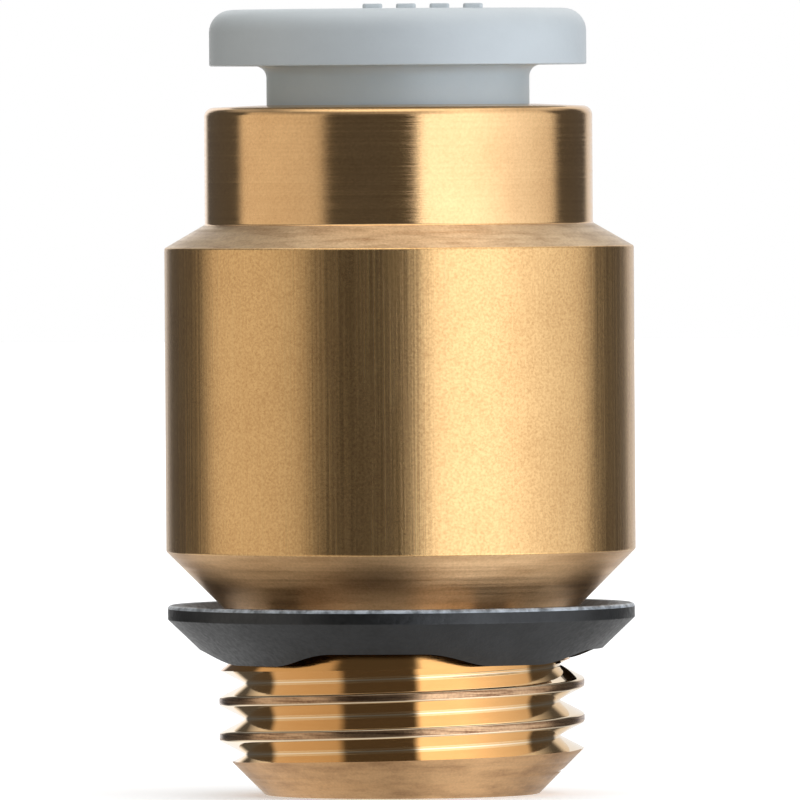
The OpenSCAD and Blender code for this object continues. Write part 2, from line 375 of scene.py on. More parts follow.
class Graph:
    """Short ways to place and join shader nodes in one tree."""

    # Places of the Mix node's sockets, whose names repeat for each kind of data.
    MIX_SHARE: ClassVar[int] = 0
    VECTOR_ENDS: ClassVar[tuple[int, int]] = (4, 5)
    COLOUR_ENDS: ClassVar[tuple[int, int]] = (6, 7)
    VECTOR_OUT: ClassVar[int] = 1
    COLOUR_OUT: ClassVar[int] = 2

    def __init__(self, tree: bpy.types.NodeTree) -> None:
        """Start on an emptied tree."""
        self.tree = tree
        tree.nodes.clear()

    def add(self, kind: str, feeds: dict[str, Feed] | None = None, **settings: object) -> bpy.types.Node:
        """Place a node.

        Args:
            kind: The node's type name.
            feeds: What its inputs get, by input name: a value, a colour or another node's output.
            **settings: The node's own settings.

        Returns:
            The node.
        """
        node = self.tree.nodes.new(kind)
        for key, value in settings.items():
            setattr(node, key, value)
        for name, feed in (feeds or {}).items():
            self.feed(node.inputs[name], feed)
        return node

    def feed(self, socket: Socket, feed: Feed) -> None:
        """Fill one input.

        Args:
            socket: The input.
            feed: A value, a colour or another node's output.
        """
        if isinstance(feed, bpy.types.NodeSocket):
            self.tree.links.new(feed, socket)
        elif isinstance(feed, tuple) and socket.type == "RGBA":
            socket.default_value = (*feed, 1.0)
        else:
            socket.default_value = feed

    def work_out(self, kind: str, terms: Sequence[Feed], **settings: object) -> Socket:
        """Place a node that works on its inputs in order.

        Args:
            kind: The node's type name.
            terms: What its inputs get, in order.
            **settings: The node's own settings.

        Returns:
            The node's first output.
        """
        node = self.add(kind, **settings)
        for socket, term in zip(node.inputs, terms):
            self.feed(socket, term)
        return node.outputs[0]

    def math(self, how: str, *terms: Feed, clamp: bool = False) -> Socket:
        """Return the result of a sum on values."""
        return self.work_out("ShaderNodeMath", terms, operation=how, use_clamp=clamp)

    def vector(self, how: str, *terms: Feed) -> Socket:
        """Return the result of a sum on vectors."""
        return self.work_out("ShaderNodeVectorMath", terms, operation=how)

    def between(
        self, share: Feed, ends: Sequence[Feed], kind: str, places: Sequence[int], out: int,
    ) -> Socket:
        """Blend two things of a kind.

        Args:
            share: The second one's share.
            ends: The two things.
            kind: The Mix node's kind of data.
            places: The places of that kind's two inputs.
            out: The place of its output.

        Returns:
            The blend.
        """
        node = self.add("ShaderNodeMix", data_type=kind)
        self.feed(node.inputs[self.MIX_SHARE], share)
        for place, end in zip(places, ends):
            self.feed(node.inputs[place], end)
        return node.outputs[out]

    def mix(self, share: Feed, a: Feed, b: Feed) -> Socket:
        """Return a colour between two colours."""
        return self.between(share, (a, b), "RGBA", self.COLOUR_ENDS, self.COLOUR_OUT)

    def lean(self, share: Feed, a: Feed, b: Feed) -> Socket:
        """Return a vector between two vectors."""
        return self.between(share, (a, b), "VECTOR", self.VECTOR_ENDS, self.VECTOR_OUT)

    def span(self, value: Feed, start: Feed, end: Feed, low: Feed = 0.0, high: Feed = 1.0) -> Socket:
        """Return a value that goes from low to high as the given one goes from start to end."""
        feeds = {"Value": value, "From Min": start, "From Max": end, "To Min": low, "To Max": high}
        return self.add("ShaderNodeMapRange", feeds).outputs[0]

    def ramp(self, value: Socket, stops: Sequence[tuple[float, Colour]]) -> Socket:
        """Make a colour that follows stops.

        Args:
            value: The place on the ramp, from 0 to 1.
            stops: Places and their colours.

        Returns:
            The colour.
        """
        node = self.add("ShaderNodeValToRGB", {"Fac": value})
        elements = node.color_ramp.elements
        while len(elements) > 1:
            elements.remove(elements[-1])
        for i, (place, colour) in enumerate(stops):
            element = elements[0] if i == 0 else elements.new(place)
            element.position = place
            element.color = (*colour, 1.0)
        return node.outputs[0]

    def bump(self, height: Socket, strength: float, rise: float, **feeds: Feed) -> Socket:
        """Return the normal of a surface that rises by some mm with a height from 0 to 1."""
        feeds |= {"Strength": strength, "Distance": rise * MM, "Height": height}
        return self.add("ShaderNodeBump", feeds).outputs[0]

    def surface(self, feeds: dict[str, Feed]) -> None:
        """Make the material's surface from the inputs of its shader."""
        shader = self.add("ShaderNodeBsdfPrincipled", feeds)
        self.add("ShaderNodeOutputMaterial", {"Surface": shader.outputs[0]})


@dataclass(frozen=True)
class Texture:
    """A grain that is drawn out along some of the part's axes.

    It has so many lines in one mm across the axis and up along it, and so many octaves of finer detail. The
    noise values low and high count as 0 and 1.
    """

    across: float
    up: float
    detail: float
    low: float
    high: float

    GROUP: ClassVar[str] = "streaked_grain"
    OCTAVE_SHARE: ClassVar[float] = 0.6

    @classmethod
    def group(cls) -> bpy.types.NodeTree:
        """Build the node group that all finishes share, the first time that one asks for it.

        Returns:
            The group.
        """
        if cls.GROUP in bpy.data.node_groups:
            return bpy.data.node_groups[cls.GROUP]
        group = bpy.data.node_groups.new(cls.GROUP, "ShaderNodeTree")
        for name in ("Lines Across", "Lines Up", "Detail", "Low", "High"):
            group.interface.new_socket(name, in_out="INPUT", socket_type="NodeSocketFloat")
        group.interface.new_socket("Value", in_out="OUTPUT", socket_type="NodeSocketFloat")
        graph = Graph(group)
        ins = graph.add("NodeGroupInput").outputs
        place = graph.add("ShaderNodeTexCoord").outputs["Object"]
        lines = {"X": ins["Lines Across"], "Y": ins["Lines Across"], "Z": ins["Lines Up"]}
        scale = graph.add("ShaderNodeCombineXYZ", lines).outputs[0]
        noise = graph.add("ShaderNodeTexNoise", {
            "Vector": graph.vector("MULTIPLY", place, scale), "Scale": 1.0, "Detail": ins["Detail"],
            "Roughness": cls.OCTAVE_SHARE,
        })
        graph.add("NodeGroupOutput", {"Value": graph.span(noise.outputs[0], ins["Low"], ins["High"])})
        return group

    def place(self, graph: Graph) -> Socket:
        """Place the grain in a material.

        Args:
            graph: The material's nodes.

        Returns:
            The grain from 0 to 1.
        """
        feeds = {
            "Lines Across": self.across / MM, "Lines Up": self.up / MM, "Detail": self.detail,
            "Low": self.low, "High": self.high,
        }
        return graph.add("ShaderNodeGroup", feeds, node_tree=self.group()).outputs["Value"]


def new_material(name: str) -> tuple[bpy.types.Material, Graph]:
    """Start a material.

    Args:
        name: The material's name.

    Returns:
        The material and its nodes.
    """
    material = bpy.data.materials.new(name)
    material.use_nodes = True
    return material, Graph(material.node_tree)


@dataclass(frozen=True)
class BrassFinish:
    """Machined brass with the fine lines that its making left."""

    name: str
    grain: Grain = Grain.TURNED
    tone: Colour = (0.85, 0.52, 0.22)
    stain: Colour = (0.42, 0.21, 0.075)
    stain_share: float = 0.16
    stain_across: float = 0.55
    stain_up: float = 0.55
    speck_share: float = 0.22
    speck_grain: float = 15.0
    rough_low: float = 0.16
    rough_high: float = 0.28
    stretch: float = 0.5
    line_shade: float = 0.14
    line_depth: float = 0.5
    line_rise: float = 0.004
    outward: float = 0.0

    def facing(self, graph: Graph) -> Socket:
        """Turn the normal towards straight out from the axis, by the finish's share.

        A sloping face then shows the light round the horizon, as an upright wall does.

        Args:
            graph: The material's nodes.

        Returns:
            The normal in world directions.
        """
        place = graph.add("ShaderNodeTexCoord").outputs
        level = graph.vector("MULTIPLY", place["Object"], (1.0, 1.0, 0.0))
        turned = graph.lean(self.outward, place["Normal"], graph.vector("NORMALIZE", level))
        world = graph.add("ShaderNodeVectorTransform", {"Vector": turned}, vector_type="NORMAL",
                          convert_from="OBJECT", convert_to="WORLD")
        return graph.vector("NORMALIZE", world.outputs[0])

    def make(self) -> bpy.types.Material:
        """Build the material.

        Returns:
            The material.
        """
        material, graph = new_material(self.name)
        lines = Texture(self.grain.across, self.grain.up, detail=3.0, low=0.32, high=0.68).place(graph)
        cloud = Texture(self.stain_across, self.stain_up, detail=4.0, low=0.42, high=0.70).place(graph)
        specks = Texture(self.speck_grain, self.speck_grain, detail=2.0, low=0.36, high=0.72).place(graph)
        worn = graph.math("MULTIPLY", cloud, self.stain_share)
        fine = graph.math("MULTIPLY_ADD", lines, -self.line_shade, self.line_shade)
        dirt = graph.math("MULTIPLY", specks, self.speck_share)
        share = graph.math("ADD", graph.math("ADD", worn, fine), dirt, clamp=True)
        aim = {"Normal": self.facing(graph)} if self.outward > 0 else {}
        graph.surface({
            "Base Color": graph.mix(share, self.tone, self.stain),
            "Metallic": 1.0,
            "Roughness": graph.span(lines, 0.0, 1.0, self.rough_low, self.rough_high),
            "Normal": graph.bump(lines, self.line_depth, self.line_rise, **aim),
            "Anisotropic": self.stretch,
            "Anisotropic Rotation": self.grain.shine_turn,
            "Tangent": graph.add("ShaderNodeTangent", direction_type="RADIAL", axis="Z").outputs[0],
        })
        return material


@dataclass(frozen=True)
class PlainFinish:
    """A finish of two tones, clouded, with a fine skin."""

    name: str
    tone: Colour
    shade: Colour
    rough: float
    cloud: Texture
    skin: Texture
    cloud_share: float
    skin_share: float
    rough_less: float
    rough_more: float
    skin_depth: float
    skin_rise: float
    metal: float = 0.0
    bend: float = 1.5

    def make(self) -> bpy.types.Material:
        """Build the material.

        Returns:
            The material.
        """
        material, graph = new_material(self.name)
        cloud = self.cloud.place(graph)
        skin = self.skin.place(graph)
        clouded = graph.math("MULTIPLY", cloud, self.cloud_share)
        share = graph.math("MULTIPLY_ADD", skin, self.skin_share, clouded, clamp=True)
        low, high = self.rough - self.rough_less, self.rough + self.rough_more
        graph.surface({
            "Base Color": graph.mix(share, self.tone, self.shade),
            "Metallic": self.metal,
            "Roughness": graph.span(skin, 0.0, 1.0, low, high),
            "Normal": graph.bump(skin, self.skin_depth, self.skin_rise),
            "IOR": self.bend,
        })
        return material


@dataclass(frozen=True)
class PlasticFinish(PlainFinish):
    """Moulded plastic with a faint mottle."""

    rough: float = 0.42
    cloud: Texture = Texture(0.7, 0.9, detail=3.0, low=0.35, high=0.68)
    skin: Texture = Texture(11.0, 11.0, detail=2.0, low=0.30, high=0.70)
    cloud_share: float = 0.5
    skin_share: float = 0.12
    rough_less: float = 0.05
    rough_more: float = 0.07
    skin_depth: float = 0.18
    skin_rise: float = 0.006
    bend: float = 1.48


@dataclass(frozen=True)
class RubberFinish(PlainFinish):
    """Black moulded rubber with a satin skin; given pale tones, it makes the painted highlight on the
    gasket's rim.
    """

    tone: Colour = (0.007, 0.0075, 0.008)
    shade: Colour = (0.018, 0.019, 0.020)
    rough: float = 0.40
    cloud: Texture = Texture(0.9, 0.9, detail=4.0, low=0.38, high=0.62)
    skin: Texture = Texture(8.0, 8.0, detail=3.0, low=0.30, high=0.70)
    cloud_share: float = 1.0
    skin_share: float = 0.0
    rough_less: float = 0.07
    rough_more: float = 0.10
    skin_depth: float = 0.35
    skin_rise: float = 0.01
    bend: float = 1.52


@dataclass(frozen=True)
class SteelFinish(PlainFinish):
    """Stamped or turned steel with fine lines round the axis."""

    tone: Colour = (0.60, 0.60, 0.59)
    shade: Colour = (0.34, 0.34, 0.34)
    rough: float = 0.26
    cloud: Texture = Texture(0.9, 0.9, detail=3.0, low=0.40, high=0.72)
    skin: Texture = Texture(1.2, 14.0, detail=3.0, low=0.32, high=0.68)
    cloud_share: float = 0.4
    skin_share: float = 0.2
    rough_less: float = 0.06
    rough_more: float = 0.10
    skin_depth: float = 0.3
    skin_rise: float = 0.004
    metal: float = 1.0


def coat(piece: Piece, *finishes: BrassFinish | PlainFinish) -> None:
    """Give a piece its materials in order."""
    for finish in finishes:
        piece.data.materials.append(finish.make())


def paint(piece: Piece, choose: Callable[[float, float], int]) -> None:
    """Choose the material of each face.

    Args:
        piece: The piece with its materials.
        choose: Gives the material's place for the radius and the height of a face's middle, in mm.
    """
    for face in piece.data.polygons:
        r = math.hypot(face.center.x, face.center.y) / MM
        face.material_index = choose(r, face.center.z / MM)


def hand_over(piece: Piece, body: str, slot: str, *nodes: str) -> None:
    """Give a finished piece to the frame, and report it.

    Args:
        piece: The finished piece.
        body: The CAD body that it moves with.
        slot: The record's material slot of its finish; not used.
        *nodes: The CAD nodes that it stands for.
    """
    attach(piece, body)
    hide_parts(*nodes)
    LOG.info("%s stands for %s and moves with %s", piece.name, ", ".join(nodes), body)


@dataclass
class BrassBody:
    """The turned body with its threaded stud, barrel, collar and bores."""

    # Thread
    crest_r: float = 4.67
    pitch: float = 0.907
    depth: float = 0.62
    flank: float = 27.5
    start: float = 130.0
    root_round: float = 0.04
    crest_round: float = 0.10
    crest_over: float = 0.05
    lead_turns: int = 2
    thread_steps: int = 120
    arc_parts: int = 5
    flank_cuts: tuple[float, ...] = (0.06, 0.5, 0.94)
    flat_cuts: tuple[float, ...] = (0.2, 1.0)
    # Outside, from the stud's end up
    stud_end_r: float = 3.5
    stud_chamfer: float = 1.17
    thread_len: float = 3.16
    relief_r: float = 3.95
    z_relief: float = 3.74304
    z_cone: float = 4.19304
    barrel_r: float = 6.0
    z_barrel: float = 6.24304
    z_shoulder: float = 13.983
    collar_r: float = 4.96
    z_collar: float = 14.5835
    z_rim: float = 17.56
    collar_round: float = 0.24
    # Bores, from the mouth down
    mouth_r: float = 3.46
    z_lip: float = 17.6235
    z_lip_under: float = 17.0735
    cavity_r: float = 4.25
    z_ledge: float = 11.2835
    seal_pocket_r: float = 3.6
    z_seal: float = 9.2835
    pocket_r: float = 2.05
    z_stop: float = 6.4835
    web_r: float = 1.0
    hex_flats: float = 3.0
    outlet_r: float = 1.95
    outlet_len: float = 2.2
    outlet_chamfer: float = 0.25
    # Radii of edges and fillets
    outlet_edge: float = 0.02
    stud_edge: float = 0.05
    relief_edge: float = 0.05
    cone_fillet: float = 0.08
    barrel_foot_edge: float = 0.09
    shoulder_edge: float = 0.07
    lip_edge: float = 0.06
    lip_under_edge: float = 0.04
    bore_fillet: float = 0.06
    ledge_edge: float = 0.05
    # Tool bodies and the choice of a face's zone
    drum_sides: int = 60
    key_sides: int = 6
    key_over: float = 1.0
    slack: float = 0.03

    def section(self) -> list[Corner]:
        """Draw the half section before threading, up the outside and down through the bores.

        Returns:
            Its corners as radius and height.
        """
        top_slope = (self.z_relief - self.thread_len) / (self.crest_r - self.relief_r)
        over_r = self.crest_r + self.crest_over
        return [
            Corner(self.outlet_r + self.outlet_chamfer, 0.0, self.outlet_edge),
            Corner(self.stud_end_r, 0.0, self.stud_edge),
            Corner(over_r, self.stud_chamfer + self.crest_over),
            Corner(over_r, self.thread_len - self.crest_over * top_slope),
            Corner(self.relief_r, self.z_relief, self.relief_edge),
            Corner(self.relief_r, self.z_cone, self.cone_fillet),
            Corner(self.barrel_r, self.z_barrel, self.barrel_foot_edge),
            Corner(self.barrel_r, self.z_shoulder, self.shoulder_edge),
            Corner(self.collar_r, self.z_collar, self.shoulder_edge),
            Corner(self.collar_r, self.z_rim, self.collar_round),
            Corner(self.mouth_r, self.z_lip, self.lip_edge),
            Corner(self.mouth_r, self.z_lip_under, self.lip_under_edge),
            Corner(self.cavity_r, self.z_lip_under),
            Corner(self.cavity_r, self.z_ledge, self.bore_fillet),
            Corner(self.seal_pocket_r, self.z_ledge, self.ledge_edge),
            Corner(self.seal_pocket_r, self.z_seal, self.ledge_edge),
            Corner(self.pocket_r, self.z_seal, self.bore_fillet),
            Corner(self.pocket_r, self.z_stop),
            Corner(self.web_r, self.z_stop),
            Corner(self.web_r, self.outlet_len),
            Corner(self.outlet_r, self.outlet_len),
            Corner(self.outlet_r, self.outlet_chamfer, self.outlet_edge),
        ]

    def thread_profile(self) -> list[Vector]:
        """Draw one pitch of the thread, from the middle of one crest through the groove to the next.

        Returns:
            Its points as radius and height.
        """
        flank = math.radians(self.flank)
        sweep = math.pi / 2 - flank
        arc = [sweep * k / self.arc_parts for k in range(self.arc_parts + 1)]
        root_r = self.crest_r - self.depth
        root = [
            Vector((root_r + self.root_round * (1 - math.cos(a)), self.root_round * math.sin(a)))
            for a in arc
        ]
        foot = root[-1]
        head_r = self.crest_r - self.crest_round * (1 - math.sin(flank))
        head = Vector((head_r, foot.y + (head_r - foot.x) * math.tan(flank)))
        crest = [
            head + self.crest_round * Vector((math.sin(a) - math.sin(flank), math.cos(flank) - math.cos(a)))
            for a in (flank + part for part in arc)
        ]
        wall = [foot.lerp(head, share) for share in self.flank_cuts]
        flat = [crest[-1].lerp(Vector((self.crest_r, self.pitch / 2)), share) for share in self.flat_cuts]
        side = root + wall + crest + flat
        return [Vector((p.x, -p.y)) for p in reversed(side[1:])] + side

    def build(self) -> Piece:
        """Model the body: the turned section, cut to a threaded rod, with the key's hole.

        Returns:
            The body.
        """
        piece = Bench.turn("body_brass", self.section())
        start_z = -self.pitch * (self.start / 360 + self.lead_turns)
        profile = [p + Vector((0.0, start_z)) for p in self.thread_profile()]
        turns = self.lead_turns + math.ceil(self.z_cone / self.pitch) + 1
        rod = Bench.threaded("thread", profile, self.pitch, turns, self.thread_steps)
        # The drum on top of the rod keeps everything over the stud whole.
        drum_z = (self.z_relief + self.z_cone) / 2
        drum = Bench.prism("drum", regular(2 * self.barrel_r, self.drum_sides), drum_z, 2 * self.z_lip)
        Bench.combine(rod, drum, Cut.ADD_ON)
        Bench.combine(piece, rod, Cut.KEEP)
        key_r = self.hex_flats / 2 / math.cos(math.radians(180 / self.key_sides))
        low, high = self.outlet_len - self.key_over, self.z_stop + self.key_over
        Bench.combine(piece, Bench.prism("key", regular(key_r, self.key_sides), low, high), Cut.TAKE_OFF)
        return Bench.done(piece)

    def outer_r(self, z: float) -> float:
        """Measure the stud over its crests and chamfers.

        Args:
            z: A height in mm.

        Returns:
            The outer radius at that height, and the barrel's above the stud.
        """
        if z > self.z_cone:
            return self.barrel_r
        chamfer = self.stud_end_r + (self.crest_r - self.stud_end_r) * z / self.stud_chamfer
        fall = (z - self.thread_len) / (self.z_relief - self.thread_len)
        top = self.crest_r - (self.crest_r - self.relief_r) * min(max(fall, 0.0), 1.0)
        return min(self.crest_r, chamfer, top)

    def zone(self, r: float, z: float) -> Zone:
        """Tell which zone a face belongs to.

        Args:
            r: The radius of the face's middle in mm.
            z: Its height in mm.

        Returns:
            The zone.
        """
        bore_r = self.cavity_r if z > self.z_ledge - self.slack else self.seal_pocket_r
        inside = r < min(bore_r + self.slack, self.outer_r(z) - self.slack)
        if inside and self.slack < z < self.z_lip_under + self.slack:
            return Zone.BORED
        if z > self.z_collar - self.slack or self.z_relief - self.slack < z < self.z_cone + self.slack:
            return Zone.TURNED
        if z > self.z_shoulder + self.slack:
            return Zone.SLOPED
        if self.z_cone < z < self.z_barrel - self.slack:
            return Zone.CONED
        if z > self.z_barrel - self.slack:
            return Zone.DRAWN
        if r < self.outer_r(z) - self.slack / 2:
            return Zone.THREADED
        if z > self.thread_len:
            return Zone.EASED
        return Zone.CREST if r > self.crest_r - self.slack / 2 else Zone.PARTED

    @staticmethod
    def finishes() -> dict[Zone, BrassFinish]:
        """Choose the finish that its making left on each zone; the chamfer over the thread instead has a
        painted reflection, the colour of light bounced twice in the groove.

        Returns:
            The finishes by zone.
        """
        return {
            Zone.TURNED: BrassFinish(
                "brass_turned", tone=(0.85, 0.54, 0.26), rough_low=0.13, rough_high=0.22, stretch=0.6,
                line_depth=0.8,
            ),
            Zone.DRAWN: BrassFinish(
                "brass_drawn", Grain.DRAWN, tone=(0.83, 0.53, 0.235), rough_low=0.19, rough_high=0.28,
                stain_share=0.12, speck_share=0.46, line_depth=0.14,
            ),
            Zone.CONED: BrassFinish(
                "brass_coned", tone=(0.94, 0.62, 0.33), rough_low=0.40, rough_high=0.50, stretch=0.85,
                stain_share=0.35, stain_across=0.5, stain_up=4.0,
            ),
            Zone.SLOPED: BrassFinish(
                "brass_sloped", tone=(0.84, 0.63, 0.39), stain=(0.44, 0.27, 0.14), rough_low=0.34,
                rough_high=0.46, stretch=0.85, stain_share=0.6, stain_across=0.9, stain_up=7.0,
                speck_share=0.35,
            ),
            Zone.PARTED: BrassFinish(
                "brass_parted", tone=(0.80, 0.49, 0.24), stain=(0.42, 0.23, 0.11), rough_low=0.42,
                rough_high=0.56, stretch=0.6, stain_share=0.6, stain_across=0.9, stain_up=4.0,
            ),
            Zone.CREST: BrassFinish(
                "brass_crest", tone=(0.66, 0.42, 0.24), stain=(0.20, 0.10, 0.05), rough_low=0.18,
                rough_high=0.32, stretch=0.3, stain_share=1.0, stain_across=0.7, stain_up=14.0,
                speck_share=0.3,
            ),
            Zone.THREADED: BrassFinish(
                "brass_threaded", tone=(0.90, 0.72, 0.50), stain=(0.75, 0.55, 0.34), rough_low=0.05,
                rough_high=0.08, stretch=0.2, stain_share=0.1, speck_share=0.1, line_depth=0.06,
            ),
            # The chamfer over the thread: its deep orange tone paints the colour of light reflected twice in
            # the groove, and its normal is turned outward.
            Zone.EASED: BrassFinish(
                "brass_eased_painted_reflection", tone=(0.71, 0.37, 0.125), stain=(0.50, 0.24, 0.08), rough_low=0.09,
                rough_high=0.14, stretch=0.4, stain_share=0.1, speck_share=0.12, line_depth=0.1, outward=0.9,
            ),
            Zone.BORED: BrassFinish(
                "brass_bored", rough_low=0.22, rough_high=0.34, stretch=0.4, stain_share=0.4,
            ),
        }

    def dress(self, piece: Piece) -> None:
        """Give each zone of the body its finish.

        Args:
            piece: The finished body.
        """
        zones = list(Zone)
        finishes = self.finishes()
        coat(piece, *(finishes[zone] for zone in zones))
        paint(piece, lambda r, z: zones.index(self.zone(r, z)))
        hand_over(piece, "fitting", "brass", "brass_body")


@dataclass
class ReleaseButton:
    """The moulded button that opens the chuck."""

    bore_r: float = 2.12
    nose_r: float = 2.45
    z_nose: float = 13.6657
    nose_len: float = 1.37
    sleeve_r: float = 3.2
    z_sleeve: float = 15.4935
    bead_r: float = 3.68
    z_bead: float = 15.9735
    z_bead_top: float = 16.4735
    neck_r: float = 3.36
    neck_fillet: float = 0.3
    flange_r: float = 4.82
    flange_round: float = 0.58
    z_flange: float = 18.6235
    z_top: float = 20.0635
    entry_chamfer: float = 0.35
    # Plain raised bars on top
    bar_w: float = 0.5
    bar_len: float = 0.7
    bar_h: float = 0.12
    bar_pitch: float = 0.85
    bar_offset: float = 0.64
    bar_count: int = 4
    bar_round: float = 0.09
    bar_edge: float = 0.04
    bar_edge_deg: float = 60.0
    # Radii of edges and fillets
    nose_in_edge: float = 0.04
    nose_edge: float = 0.06
    sleeve_edge: float = 0.08
    bead_edge: float = 0.05
    bead_top_edge: float = 0.04
    flange_edge: float = 0.05
    entry_edge: float = 0.08
    # How far over the flange's underside the neck's paler finish, which paints light into the shade, may
    # reach
    slack: float = 0.01

    def section(self) -> list[Corner]:
        """Draw the half section from the nose up the outside and down the bore.

        Returns:
            Its corners as radius and height.
        """
        return [
            Corner(self.bore_r, self.z_nose, self.nose_in_edge),
            Corner(self.nose_r, self.z_nose, self.nose_edge),
            Corner(self.sleeve_r, self.z_nose + self.nose_len, self.sleeve_edge),
            Corner(self.sleeve_r, self.z_sleeve, self.bead_edge),
            Corner(self.bead_r, self.z_bead, self.bead_edge),
            Corner(self.bead_r, self.z_bead_top, self.bead_top_edge),
            Corner(self.neck_r, self.z_bead_top, self.bead_top_edge),
            Corner(self.neck_r, self.z_flange, self.neck_fillet),
            Corner(self.flange_r, self.z_flange, self.flange_edge),
            Corner(self.flange_r, self.z_top, self.flange_round),
            Corner(self.bore_r + self.entry_chamfer, self.z_top, self.entry_edge),
            Corner(self.bore_r, self.z_top - self.entry_chamfer, self.entry_edge),
        ]

    def bar(self, x: float) -> Piece:
        """Model one raised bar.

        Args:
            x: The place of its middle along the row.

        Returns:
            The bar, sunk into the button's top by its height.
        """
        row_r = (self.bore_r + self.entry_chamfer + self.flange_r - self.flange_round) / 2
        corners = [
            Corner(x + across * self.bar_w / 2, along * self.bar_len / 2 - row_r, self.bar_round)
            for across, along in ((-1, -1), (1, -1), (1, 1), (-1, 1))
        ]
        piece = Bench.prism("bar", rounded(corners), self.z_top - self.bar_h, self.z_top + self.bar_h)
        Bench.soften(piece, self.bar_edge, self.bar_edge_deg)
        return piece

    def build(self) -> Piece:
        """Model the button with its row of plain raised bars.

        Returns:
            The button.
        """
        piece = Bench.turn("button_moulded", self.section())
        for i in range(self.bar_count):
            x = self.bar_offset + (i - (self.bar_count - 1) / 2) * self.bar_pitch
            Bench.combine(piece, self.bar(x), Cut.ADD_ON)
        return Bench.done(piece)

    def dress(self, piece: Piece) -> None:
        """Give the button its grey plastic, and the faces under the flange a paler copy that paints light
        into their shade.

        Args:
            piece: The finished button.
        """
        # The second, paler copy of the grey plastic is painted light: it lifts the faces under the flange
        # out of the flange's shade.
        coat(
            piece,
            PlasticFinish("grey_moulding", tone=(0.62, 0.67, 0.69), shade=(0.57, 0.615, 0.635)),
            PlasticFinish("grey_moulding_neck_painted_light", tone=(0.71, 0.82, 0.88), shade=(0.66, 0.76, 0.82)),
        )
        paint(piece, lambda r, z: int(z < self.z_flange + self.slack and r > self.nose_r))
        hand_over(piece, "button", "button_plastic", "release_button")


